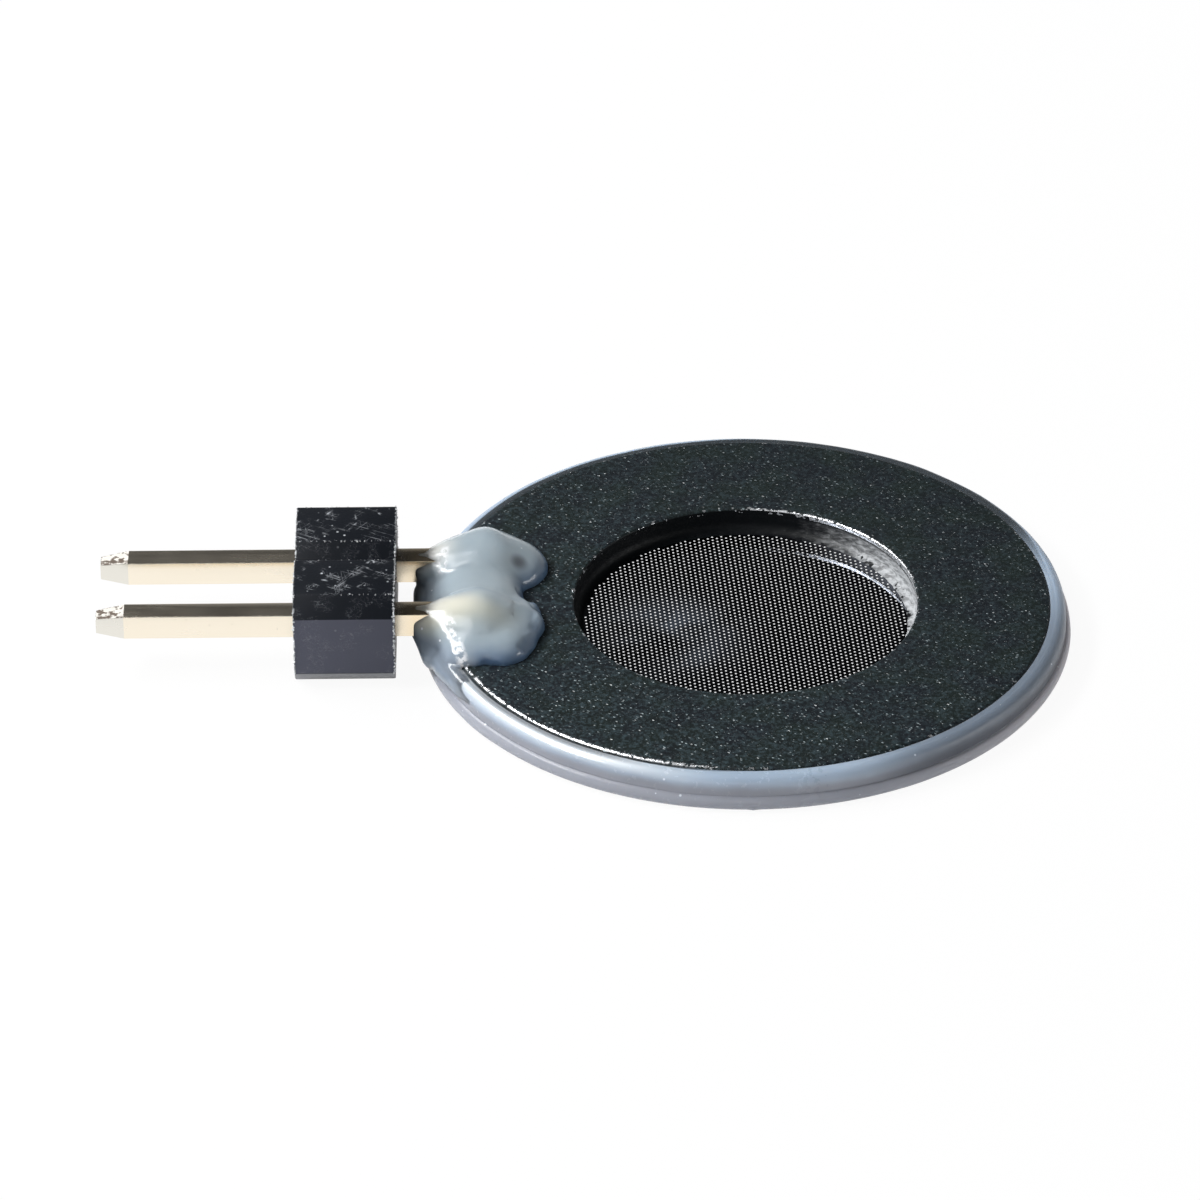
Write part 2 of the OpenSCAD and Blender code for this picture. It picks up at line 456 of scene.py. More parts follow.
def makeSealMaterial():
    material, shader, place = newMaterial("siliconeSeal")
    height = splitXyz(place)[2]
    crease = seal["creaseZ"]
    cloud = addNoise(place, 0.7 / mm, 3.0)
    level = addMath("ADD", height, times(cloud, 0.16 * mm))
    outwards = addVector("NORMALIZE", place)
    towards = addTowards(outwards, seal["sheenAt"])
    aboveCrease = addFade(height, (crease - 0.01) * mm, (crease + 0.03) * mm)
    upper = addFade(level, 0.58 * mm, 0.94 * mm)
    farSide = addFade(towards, 0.6, -0.5)
    # the lower lobe is painted lighter on the side away from the lamps: painted light, as if from the floor
    colour = addMix(aboveCrease, addMix(farSide, *seal["lobeColours"]),
                    addMix(cloud, *seal["flankColours"]))
    # the top is bluer and painted lighter than the flank: partly the silicone's tint, partly a painted sheen
    # of the sky
    colour = addMix(upper, colour, addMix(cloud, *seal["topSheenColours"]))
    # painted shade darkens the bulge at the right of the front, the side away from the lamps, and its top
    # less so
    sideShade = addFade(addTowards(outwards, seal["shadedAt"]), 0.74, 0.97, 0.0, 0.88)
    sideShade = times(sideShade, aboveCrease, addRange(upper, 0.0, 1.0, 1.0, 0.7))
    colour = addMix(sideShade, colour, (0.055, 0.064, 0.083))
    # painted shade along the crease, less on the side away from the lamps
    line = addFade(distanceFrom(height, crease * mm), 0.0, 0.035 * mm, 0.15, 0.0)
    line = times(line, addMath("SUBTRACT", 1.0, farSide))
    colour = addMix(line, colour, (0.16, 0.17, 0.21))
    dust = useGroup(specks, place, PerMm=5.0, Size=0.2, Share=0.14)["Mask"]
    colour = addMix(times(dust, 0.7), colour, (0.75, 0.8, 0.86))
    # smeared sealant whitens the shoulder near the header, and this is also a painted highlight where the
    # lamps glint on it
    near = addFade(towards, 0.78, 0.96)
    high = addFade(height, 0.68 * mm, 0.86 * mm, 0.0, 0.62)
    colour = addMix(times(near, high), colour, (0.74, 0.78, 0.80))
    # painted shade darkens the seam beside the coat at the front left, and wider at the back
    outX, outY, _outZ = splitXyz(outwards)
    behind = addFade(outY, 0.1, 0.5)
    spread = addFade(outX, -0.2, 0.3, 0.07 * mm, 0.18 * mm)
    reach = addVector("LENGTH", addFlat(place))
    inside = addMath("SUBTRACT", reach, times(behind, spread))
    seamShade = addFade(inside, (discR + 0.05) * mm, (discR + 0.10) * mm, 0.95, 0.0)
    seamShade = times(seamShade, largest(addFade(towards, 0.72, 0.88), behind))
    # painted shade on the slope between the seam and the highlight, on the side facing the lamps
    slopeShade = addFade(reach, (discR + 0.12) * mm, (discR + 0.30) * mm, 0.70, 0.0)
    slopeShade = times(slopeShade, addFade(towards, 0.90, 0.97))
    colour = addMix(slopeShade, colour, (0.17, 0.175, 0.19))
    colour = addMix(seamShade, colour, (0.018, 0.023, 0.026))
    grain = addNoise(place, 6 / mm, 4.0, 0.6)
    satin = addFade(towards, 0.70, 0.25, 0.0, 0.20)
    rough = addMath("ADD", addRange(grain, 0.3, 0.7, 0.20, 0.29), satin)
    shine = addFade(level, 0.66 * mm, 0.90 * mm, 0.3, 1.0)
    setLook(shader, colour, rough, 0.0, shine)
    scatterLight(shader, 0.2, (0.6, 0.8, 1.0), 0.25)
    addBump(shader, grain, 0.006, 0.6)
    return material


def makeSeal():
    lobeX = sealHigh.x - seal["lobeR"]
    shoulderR = seal["shoulderR"]
    shoulderX = seal["bulgeR"] - shoulderR
    sealTop = topZ - seal["topDrop"]
    grooveR = discR + seal["grooveW"]
    grooveZ = topZ - seal["grooveDrop"]
    openR = seal["liquidR"]
    creaseAngle = math.degrees(math.asin((seal["creaseZ"] - 0.015 - seal["lobeR"]) / seal["lobeR"]))
    outline = [(openR, 0.03), (openR + 0.03, 0.0), (6.9, 0.0), (7.5, 0.0)]
    outline += arcPoints((lobeX, seal["lobeR"]), seal["lobeR"], -90, creaseAngle, 14)
    outline.append((seal["creaseR"], seal["creaseZ"]))
    outline += arcPoints((shoulderX, sealTop - shoulderR), shoulderR, -8, 86, 16)
    outline += [(grooveR, sealTop - 0.01), (grooveR - 0.015, grooveZ + 0.02), (discR + 0.015, grooveZ),
                (discR, grooveZ), (discR, 0.6), (discR, plateLow.z), (6.9, plateLow.z),
                (openR + 0.02, plateLow.z), (openR, plateLow.z - 0.02)]
    piece = drawOutline(outline, "edgeSeal")
    spinRound(seal["steps"])
    markVertices(piece, "outside", lambda co: math.hypot(co.x, co.y) > discR + 0.03 and co.z > 0.06)
    jitter(piece, seal["unevenMm"], 1.4, "outside")
    # the seam beside the coat is closed up on the side away from the header
    for v in piece.data.vertices:
        if v.co.z > 0.7 and math.hypot(v.co.x, v.co.y) < grooveR + 0.02:
            closed = min(1.0, max(0.0, (v.co.x / discR - 0.1) / 0.5))
            v.co.z += closed * max(0.0, sealTop - 0.005 - v.co.z)
    # a thin line of moulding flash runs along part of the foot, and a small nib stands at the front
    fromDeg, toDeg = seal["flashDeg"]
    pickInEdit(piece, "VERT", lambda co: 0.005 < co.z < 0.04 and co.x > 0
               and fromDeg < math.degrees(math.atan2(co.y, co.x)) < toDeg
               and math.hypot(co.x, co.y) > seal["outsideR"])
    wider = 1 + seal["flashMm"] / 8.15
    bpy.ops.transform.resize(value=(wider, wider, 0.4))
    pickInEdit(piece, "VERT", lambda co: 0.01 < co.z < 0.08 and -8.4 < co.y < -8.0
               and abs(co.x - seal["nibAt"]) < 0.09 and math.hypot(co.x, co.y) > seal["outsideR"])
    bpy.ops.transform.translate(value=(0, -seal["nibMm"], 0))
    setSlots(piece, makeSealMaterial())
    finishPiece(piece, "edgeSeal", "edge_seal", 55)


makeSeal()


# Spray plate

plate = {
    "pitch": 0.148,        # spacing of the spray holes along their columns
    "step": 0.119,         # and from one column to the next
    "turnDeg": 4.1,        # how far the columns lie from the part's own axes
    "mouthR": 0.025,
    "footR": 0.040,
    "holesR": 4.1,
    "rimGap": 0.01,
    "sheenAt": (-1.9, -0.7, 0.3),
    "sides": 6,
    "rim": 192,
}


def makePlateMaterial():
    material, shader, place = newMaterial("sprayPlate")
    # a bluish haze painted over part of the plate: a painted sheen of the light above
    hazeSheen = addFade(addNoise(place, 0.55 / mm, 3.0, 0.5, 0.6), 0.32, 0.6)
    sheenSpot = addFade(addDistance(place, plate["sheenAt"]), 0.3 * mm, 2.6 * mm, 1.0, 0.0)
    hazeSheen = times(hazeSheen, sheenSpot)
    fine = addNoise(place, 9 / mm, 3.0)
    base = addMix(fine, (0.115, 0.125, 0.143), (0.15, 0.16, 0.186))
    setLook(shader, addMix(hazeSheen, base, (0.24, 0.29, 0.37)),
            addRange(hazeSheen, 0.0, 1.0, 0.015, 0.12), addRange(hazeSheen, 0.0, 1.0, 1.0, 0.85))
    addBump(shader, fine, 0.0006, 0.5)
    return material


def makePlate():
    thick = plateHigh.z - plateLow.z
    middle = (0, 0, (plateLow.z + plateHigh.z) / 2)
    bpy.ops.mesh.primitive_cylinder_add(vertices=plate["rim"], radius=discR - plate["rimGap"], depth=thick,
                                        location=middle)
    piece = bpy.context.object
    setInMesh()
    holeMaterial = makeCloudedMaterial("sprayHoleWall", 3, 2.0, ((0.88, 0.9, 0.92), (0.98, 0.98, 0.98)),
                                       (0.12, 0.22), 0.001, 0.3, 1.0)
    setSlots(piece, makePlateMaterial(), holeMaterial)

    # one tapered punch, repeated on a triangular grid
    bpy.ops.mesh.primitive_cylinder_add(vertices=plate["sides"], radius=plate["mouthR"], depth=thick + 0.02,
                                        location=middle)
    punch = bpy.context.object
    setInMesh()
    pickInEdit(punch, "VERT", lambda co: co.z < plateLow.z)
    flare = plate["footR"] / plate["mouthR"]
    bpy.ops.transform.resize(value=(flare, flare, 1))
    objectMode()
    setSlots(punch, *piece.data.materials)
    for face in punch.data.polygons:
        face.material_index = 1
    facesEach = len(punch.data.polygons)
    across = math.ceil(plate["holesR"] / plate["pitch"]) + 1
    rows = math.ceil(plate["holesR"] / plate["step"])
    pickOnly(punch)
    punch.location = (-rows * plate["step"], -across * plate["pitch"], 0)
    setInMesh()
    applyModifier(punch, "ARRAY", count=2 * across + 1, use_relative_offset=False, use_constant_offset=True,
                  constant_offset_displace=(0, plate["pitch"], 0))
    columns = [punch]
    for i in range(1, 2 * rows + 1):
        pickOnly(columns[-1])
        bpy.ops.object.duplicate(linked=False)
        column = bpy.context.object
        shift = 0.5 * plate["pitch"] if i % 2 else -0.5 * plate["pitch"]
        column.location = (plate["step"], shift, 0)
        setInMesh()
        columns.append(column)
    punches = joinInto(*columns)
    punches.rotation_euler.z = math.radians(plate["turnDeg"])
    setInMesh()
    # keep only the punches that fall inside the opening
    centres = {}
    for face in punches.data.polygons:
        centres.setdefault(face.index // facesEach, []).append(face.center.copy())
    kept = {i for i, places in centres.items()
            if math.hypot(*(sum(places, Vector()) / len(places)).xy) < plate["holesR"]}
    pickInEdit(punches, "FACE", lambda face: face.index // facesEach not in kept)
    bpy.ops.mesh.delete(type="FACE")
    objectMode()
    print("spray holes", len(kept))
    cutAway(piece, punches)
    finishPiece(piece, "sprayPlate", "mesh_plate", 30)


makePlate()


# Black coat

coat = {
    "sprayR": 4.37,
    "fillet": 0.24,
    "edgeR": 0.09,
    "boreEdgeR": 0.05,
    "layer": 0.05,
    "boreCoat": 0.18,
    "footUnevenMm": 0.05,
    "steps": 360,
    "glintAt": math.radians(227),
    "colours": ((0.002, 0.0048, 0.0085), (0.003, 0.0085, 0.0075)),
    "boreColours": ((0.003, 0.0042, 0.0055), (0.46, 0.475, 0.49)),
}


def makeCoatMaterial():
    material, shader, place = newMaterial("blackCoat")
    patches = addFade(addNoise(place, 0.9 / mm, 3.0), 0.35, 0.65)
    colour = addMix(patches, *coat["colours"])
    # its pale filler grain is painted brighter on the side facing the lamps: painted light
    litSide = addRange(addTowards(place, coat["glintAt"]), -7 * mm, 7 * mm, 0.45, 1.0)
    grain = addNoise(place, 11 / mm, 3.0, 0.65)
    pale = times(addRange(grain, 0.46, 0.70), litSide)
    colour = addMix(pale, colour, (0.031, 0.053, 0.063))
    # grains of filler, painted bright where they catch the light: painted glints, brighter on the side
    # facing the lamps
    long = addVector("MULTIPLY", addTurn(place, 0.6), (0.65, 1.2, 1.0))
    fine = useGroup(flatSpecks, long, PerMm=13.0, Size=0.36, Share=0.5)
    sparse = useGroup(flatSpecks, long, PerMm=4.5, Size=0.11, Share=0.34)
    fineMask = times(addMath("POWER", fine["Bright"], 3.0), litSide)
    fineMask = times(fine["Mask"], fineMask)
    sparseMask = times(sparse["Mask"], sparse["Bright"], litSide)
    colour = addMix(fineMask, colour, (0.42, 0.50, 0.53))
    colour = addMix(sparseMask, colour, (0.9, 0.94, 0.95))
    # both sharp edges are worn to bright metal, nearly whole over the stretch of each where the lamps glint,
    # and in dots elsewhere: partly wear, partly a painted glint
    flat = addFlat(place)
    reach = addVector("LENGTH", flat)
    side = addTowards(addVector("NORMALIZE", flat), coat["glintAt"])
    torn = addMath("ADD", reach, times(addNoise(place, 10 / mm, 3.0, 0.6), 0.30 * mm))
    broken = addNoise(place, 4.5 / mm, 3.0, 0.6)
    outer = addRange(torn, (discR + 0.075) * mm, (discR + 0.09) * mm)
    outer = times(outer, addRange(reach, (discR - 0.03) * mm, (discR - 0.01) * mm, 1.0, 0.0))
    outerLimit = addFade(side, 0.78, 0.90, 0.64, 0.38)
    outer = times(outer, addMath("GREATER_THAN", broken, outerLimit))
    inner = addRange(torn, (coat["sprayR"] + 0.195) * mm, (coat["sprayR"] + 0.18) * mm)
    innerLimit = addFade(side, -0.66, -0.90, 0.60, 0.34)
    inner = times(inner, addMath("GREATER_THAN", broken, innerLimit))
    rubbedGlint = largest(outer, inner)
    colour = addMix(rubbedGlint, colour, (0.8, 0.82, 0.85))
    rough = addRange(grain, 0.3, 0.7, 0.46, 0.6)
    rough = addMath("SUBTRACT", rough, times(rubbedGlint, 0.24))
    setLook(shader, colour, rough, times(rubbedGlint, 0.85), 0.38)
    addBump(shader, addMath("ADD", grain, times(fine["Mask"], 0.8)), 0.014, 0.8)
    return material


def makeBoreMaterial():
    material, shader, place = newMaterial("coatBore")
    x, y, z = splitXyz(place)
    along = times(addMath("ARCTAN2", y, x), coat["sprayR"])
    rise = times(z, 1.3 / mm)
    wrapped = addPlugged("ShaderNodeCombineXYZ", times(addMath("ADD", along, rise), 0.45), rise)
    streaks = addNoise(wrapped.outputs[0], 9.0, 5.0, 0.65, 0.6)
    mottle = addNoise(place, 4.5 / mm, 4.0, 0.6)
    mixed = times(streaks, mottle)
    # the wall is painted pale and streaky on the side away from the header, which faces the lamps: a painted
    # sheen, down to a ragged foot
    away = addMath("ADD", x, times(mixed, 3.0 * mm))
    away = addMath("POWER", addFade(away, 2.0 * mm, 5.0 * mm), 1.3)
    foot = addMath("SUBTRACT", z, times(mottle, 0.5 * mm))
    below = addRange(z, (topZ - 0.19) * mm, (topZ - 0.15) * mm, 1.0, 0.1)
    band = times(addRange(foot, 0.02 * mm, 0.05 * mm), below)
    texture = addFade(streaks, 0.36, 0.66, 0.45, 1.25)
    colour = addMix(times(away, band, texture), *coat["boreColours"])
    # and to bare metal along its top, unbroken mostly on the side facing the lamps, where it glints: partly
    # a painted glint
    rim = addRange(z, (topZ - 0.13) * mm, (topZ - 0.115) * mm)
    broken = addNoise(place, 4.5 / mm, 3.0, 0.6)
    limit = addFade(x, 0.9 * mm, 2.4 * mm, 0.60, 0.36)
    rim = times(rim, addMath("GREATER_THAN", broken, limit))
    colour = addMix(rim, colour, (0.86, 0.88, 0.90))
    rough = addRange(mixed, 0.15, 0.4, 0.4, 0.6)
    rough = addMath("SUBTRACT", rough, times(rim, 0.22))
    setLook(shader, colour, rough, times(rim, 0.9), 0.18)
    addBump(shader, mixed, 0.03, 0.7)
    return material


def makeCoat():
    r = coat["sprayR"]
    edgeR = coat["edgeR"]
    boreEdgeR = coat["boreEdgeR"]
    fillet = coat["fillet"]
    ringBore = r + coat["boreCoat"]
    footR = r - fillet
    layerZ = topZ - coat["layer"]
    outline = arcPoints((footR, plateHigh.z + fillet), fillet, -90, 0, 10)
    outline += [(r, z) for z in (0.65, 0.75, 0.85)]
    outline += arcPoints((r + boreEdgeR, topZ - boreEdgeR), boreEdgeR, 180, 90, 6)
    outline += [(radius, topZ) for radius in (4.8, 5.4, 6.1, 6.8, 7.3)]
    outline += arcPoints((discR - edgeR, topZ - edgeR), edgeR, 90, 0, 5)
    outline += [(discR, layerZ), (6.2, layerZ), (ringBore, layerZ), (ringBore, plateHigh.z)]
    piece = drawOutline(outline, "blackCoat")
    spinRound(coat["steps"])
    # the foot runs out over the plate unevenly
    markVertices(piece, "foot", lambda co: co.z < plateHigh.z + 0.03
                 and math.hypot(co.x, co.y) < footR + 0.12)
    for axis in ("X", "Y"):
        jitter(piece, coat["footUnevenMm"], 0.18, "foot", axis, 2)
    setSlots(piece, makeCoatMaterial(), makeBoreMaterial())
    for face in piece.data.polygons:
        if math.hypot(face.center.x, face.center.y) < r + 0.004 and face.center.z < topZ - 0.01:
            face.material_index = 1
    # windows over the joints, as the ring's solder pads need
    for side in ("front", "back"):
        low, high = boxMm("solder_joint_" + side)
        window = addCube((low.x, low.y, layerZ - 0.02), (high.x, high.y, topZ + 0.05), "window")
        setSlots(window, *piece.data.materials)
        cutAway(piece, window)
    finishPiece(piece, "blackCoat", "insulating_coat", 35)


makeCoat()


# Header housing

headerLow, headerHigh = boxMm("header_housing")

header = {
    "chamfer": 0.46,
    "edgeR": 0.03,
    "channelRoom": 0.01,
    "chips": 900,          # torn bits of plastic along the moulded edges
    "chipMm": (0.014, 0.048),
    "chipSpread": 0.014,
    "chipSink": 0.012,
    "colours": ((0.006, 0.008, 0.011), (0.011, 0.013, 0.018)),
    "sideSheenColour": (0.080, 0.084, 0.112),
    "undersideSheenColour": (0.20, 0.205, 0.22),
    "scratchRuns": ((0.5, 0.27), (-0.9, 0.24), (1.4, 0.21)),   # the turn and share of each
}


def makeHeaderMaterial():
    material, shader, place = newMaterial("headerPlastic")
    normal = addNode(material.node_tree, "ShaderNodeNewGeometry").outputs["Normal"]
    _faceX, faceY, faceZ = splitXyz(normal)
    colour = addMix(addNoise(place, 1.1 / mm, 4.0), *header["colours"])
    # the flat sides are painted greyer than the moulded chamfers, and the underside paler still: a painted
    # reflection of the white floor
    sideways = addRange(addMath("ABSOLUTE", faceY), 0.93, 0.98)
    colour = addMix(sideways, colour, header["sideSheenColour"])
    colour = addMix(addRange(faceZ, -0.3, -0.6), colour, header["undersideSheenColour"])
    # scratches and dust, mostly on top, and rubbed edges
    marks = [useGroup(scratches, place, Turn=turn, PerMm=8.0, Share=share)["Mask"]
             for turn, share in header["scratchRuns"]]
    marks = largest(*marks)
    dust = useGroup(specks, place, PerMm=5.5, Size=0.24, Share=0.34)["Mask"]
    marks = largest(times(marks, 0.9), dust)
    marks = times(marks, addRange(faceZ, 0.8, 0.95, 0.12, 1.0))
    edge = useGroup(edgeWear, place, WidthMm=0.035, PerMm=9.0, Share=0.52)["Mask"]
    worn = largest(marks, times(edge, 0.6))
    colour = addMix(worn, colour, (0.5, 0.53, 0.57))
    grain = addNoise(place, 18 / mm, 4.0, 0.6)
    setLook(shader, colour, addRange(grain, 0.3, 0.7, 0.34, 0.5), 0.0, 0.15)
    addBump(shader, addMath("ADD", grain, worn), 0.008, 0.7)
    return material


def makeChipMaterial():
    material, shader, place = newMaterial("tornPlastic")
    tone = addNoise(place, 8 / mm, 2.0)
    colour = addMix(addRange(tone, 0.35, 0.65), (0.35, 0.36, 0.38), (0.92, 0.94, 0.96))
    setLook(shader, colour, 0.5)
    addBump(shader, tone, 0.004, 0.5)
    return material


def makeChips(piece, middle, pitch):
    # one torn chip, then copies of it along the end faces' edges and the ridges beside the groove
    low, high, c = headerLow, headerHigh, header["chamfer"]
    bpy.ops.mesh.primitive_cone_add(vertices=4, radius1=1, radius2=0.3, depth=1.2)
    chip = bpy.context.object
    chip.name = "chip"
    pickInEdit(chip, "VERT", lambda co: co.z > 0 and co.x > 0)
    bpy.ops.transform.translate(value=(0.5, 0.2, 0.3))
    objectMode()
    setSlots(chip, *piece.data.materials)
    for face in chip.data.polygons:
        face.material_index = 1
    ridge = []  # the outline of an end face, from the front's foot over the top to the back's foot
    for y in (low.y, middle):
        ridge += [(y, low.z + c), (y, high.z - c), (y + c, high.z), (y + pitch - c, high.z)]
    ridge += [(high.y, high.z - c), (high.y, low.z + c)]
    runs = []  # as (start, end, how many of the chips it draws)
    for x, weight in ((low.x, 1.0), (high.x, 1.3)):
        for a, b in zip(ridge, ridge[1:]):
            if a[0] == b[0] == middle:
                continue
            length = math.hypot(b[0] - a[0], b[1] - a[1])
            share = 1.0 if max(a[1], b[1]) > high.z - c - 0.01 else 0.35
            runs.append(((x, *a), (x, *b), length * weight * share))
    for y, weight in ((low.y + c, 0.16), (low.y + pitch - c, 0.16), (middle + c, 0.75), (high.y - c, 0.16)):
        runs.append(((low.x, y, high.z), (high.x, y, high.z), (high.x - low.x) * weight))
    spread, sink = header["chipSpread"], header["chipSink"]
    chips = []
    for _ in range(header["chips"]):
        start, end, _weight = random.choices(runs, [run[2] for run in runs])[0]
        share = random.random()
        size = random.uniform(*header["chipMm"]) * random.uniform(0.5, 1.0)
        copy = chip.copy()
        copy.data = chip.data.copy()
        bpy.context.collection.objects.link(copy)
        copy.location = [s + (e - s) * share + random.uniform(-spread, spread) for s, e in zip(start, end)]
        if start[0] == end[0]:
            copy.location.x += sink if start[0] == low.x else -sink
        copy.location.z = min(copy.location.z - sink, high.z - 0.8 * size)
        copy.rotation_euler = [random.uniform(0, math.tau) for _ in range(3)]
        copy.scale = (size, size * random.uniform(0.4, 1.0), size * random.uniform(0.4, 1.2))
        chips.append(copy)
    pickOnly(chip)
    bpy.ops.object.delete()
    pickOnly(*chips)
    setInMesh()
    return chips


def makeHousing():
    low, high = headerLow, headerHigh
    pitch = (high.y - low.y) / 2
    middle = (low.y + high.y) / 2
    blocks = []
    for i in (0, 1):
        startY = low.y + i * pitch
        block = addCube((low.x, startY, low.z), (high.x, low.y + (i + 1) * pitch, high.z), "position")
        pickInEdit(block, "EDGE", lambda a, b: abs(a.x - b.x) > 1)
        bpy.ops.mesh.bevel(offset=header["chamfer"], segments=1)
        objectMode()
        blocks.append(block)
    piece = joinInto(*blocks)
    pickInEdit(piece, "FACE", lambda face: abs(face.center.y - middle) < 0.01 and abs(face.normal.y) > 0.9)
    bpy.ops.mesh.delete(type="FACE")
    bpy.ops.mesh.select_all(action="SELECT")
    bpy.ops.mesh.remove_doubles(threshold=0.001)
    bpy.ops.mesh.normals_make_consistent(inside=False)
    bpy.ops.mesh.select_mode(type="EDGE")
    bpy.ops.mesh.select_all(action="DESELECT")
    bpy.ops.mesh.edges_select_sharp(sharpness=math.radians(30))
    bpy.ops.mesh.bevel(offset=header["edgeR"], segments=2, affect="EDGES")
    objectMode()
    setSlots(piece, makeHeaderMaterial(), makeChipMaterial())
    room = header["channelRoom"]
    for side in ("front", "back"):
        pinLow, pinHigh = boxMm("header_pin_" + side)
        cutAway(piece, addCube((low.x - 1, pinLow.y - room, pinLow.z - room),
                               (high.x + 1, pinHigh.y + room, pinHigh.z + room), "channel"))
    joinInto(piece, *makeChips(piece, middle, pitch))
    finishPiece(piece, "headerHousing", "header_housing", 30)


makeHousing()


# Header pins

pin = {
    "tipL": 0.71,
    "tipW": 0.42,
    "edgeR": 0.022,
    "tornMm": 0.012,
    "colours": ((0.96, 0.87, 0.71), (0.98, 0.90, 0.77)),
    "heatedColour": (0.95, 0.80, 0.58),
    "tipColour": (0.80, 0.79, 0.74),
}


def makeGoldMaterial():
    material, shader, place = newMaterial("goldPlate")
    along = splitXyz(place)[0]
    waves = addNoise(addVector("MULTIPLY", place, (0.25, 1.0, 1.0)), 2.2 / mm, 4.0, 0.55)
    colour = addMix(addNoise(place, 0.35 / mm, 2.0), *pin["colours"])
    # the tails are yellower, from the heat of soldering, and the slopes of the tips are greyer
    heated = addRange(along, (headerHigh.x - 0.1) * mm, (headerHigh.x + 0.5) * mm)
    colour = addMix(heated, colour, pin["heatedColour"])
    tipX = boxMm("header_pin_front")[0].x + pin["tipL"]
    sloped = addRange(along, (tipX + 0.01) * mm, (tipX - 0.01) * mm, 0.0, 0.8)
    colour = addMix(sloped, colour, pin["tipColour"])
    pits = useGroup(specks, place, PerMm=7.0, Size=0.18, Share=0.10)["Mask"]
    colour = addMix(times(pits, 0.4), colour, (0.5, 0.42, 0.3))
    rough = addRange(waves, 0.3, 0.7, 0.23, 0.29)
    setLook(shader, colour, addMath("SUBTRACT", rough, times(heated, 0.04)), 1.0)
    addBump(shader, waves, 0.0007, 0.5)
    return material


def makeShearedMaterial():
    material, shader, place = newMaterial("shearedTip")
    patches = addNoise(place, 4.2 / mm, 4.0, 0.6)
    colour = addMix(addRange(patches, 0.50, 0.56), (0.86, 0.83, 0.77), (0.16, 0.125, 0.10))
    setLook(shader, colour, addRange(patches, 0.3, 0.7, 0.35, 0.5), 0.1)
    addBump(shader, patches, 0.01, 0.8)
    return material


goldMaterial = makeGoldMaterial()
shearedMaterial = makeShearedMaterial()


def makePin(side, seed):
    low, high = boxMm("header_pin_" + side)
    middleY, middleZ = (low.y + high.y) / 2, (low.z + high.z) / 2
    piece = addCube((low.x + pin["tipL"], low.y, low.z), high, "pin")
    pickInEdit(piece, "EDGE", lambda a, b: abs(a.x - b.x) > 1)
    bpy.ops.mesh.bevel(offset=pin["edgeR"], segments=2, affect="EDGES")
    pickInEdit(piece, "FACE", lambda face: face.normal.x < -0.9)
    bpy.ops.mesh.extrude_region_move(TRANSFORM_OT_translate={"value": (-pin["tipL"], 0, 0)})
    small = pin["tipW"] / (high.y - low.y)
    bpy.ops.transform.resize(value=(1, small, small), center_override=(low.x, middleY, middleZ))
    pickInEdit(piece, "FACE", lambda face: face.normal.x < -0.9)
    bpy.ops.mesh.bevel(offset=0.015, segments=2, affect="EDGES")
    # the tip was sheared off a strip, which left its top face torn
    pickInEdit(piece, "FACE", lambda face: face.center.x < low.x + pin["tipL"]
               and face.normal.z > 0.9 and face.center.z > middleZ)
    objectMode()
    setSlots(piece, goldMaterial, shearedMaterial)
    for face in piece.data.polygons:
        face.material_index = 1 if face.select else 0
    bpy.ops.object.mode_set(mode="EDIT")
    bpy.ops.mesh.subdivide(number_cuts=8)
    bpy.ops.mesh.select_less()
    bpy.ops.transform.translate(value=(0, 0, -0.5 * pin["tornMm"]))
    bpy.ops.transform.vertex_random(offset=pin["tornMm"], uniform=0.3, normal=0.4, seed=seed)
    objectMode()
    finishPiece(piece, side + "Pin", "header_pin_" + side, 35)


makePin("front", 3)
makePin("back", 8)


# Sealant over the joints

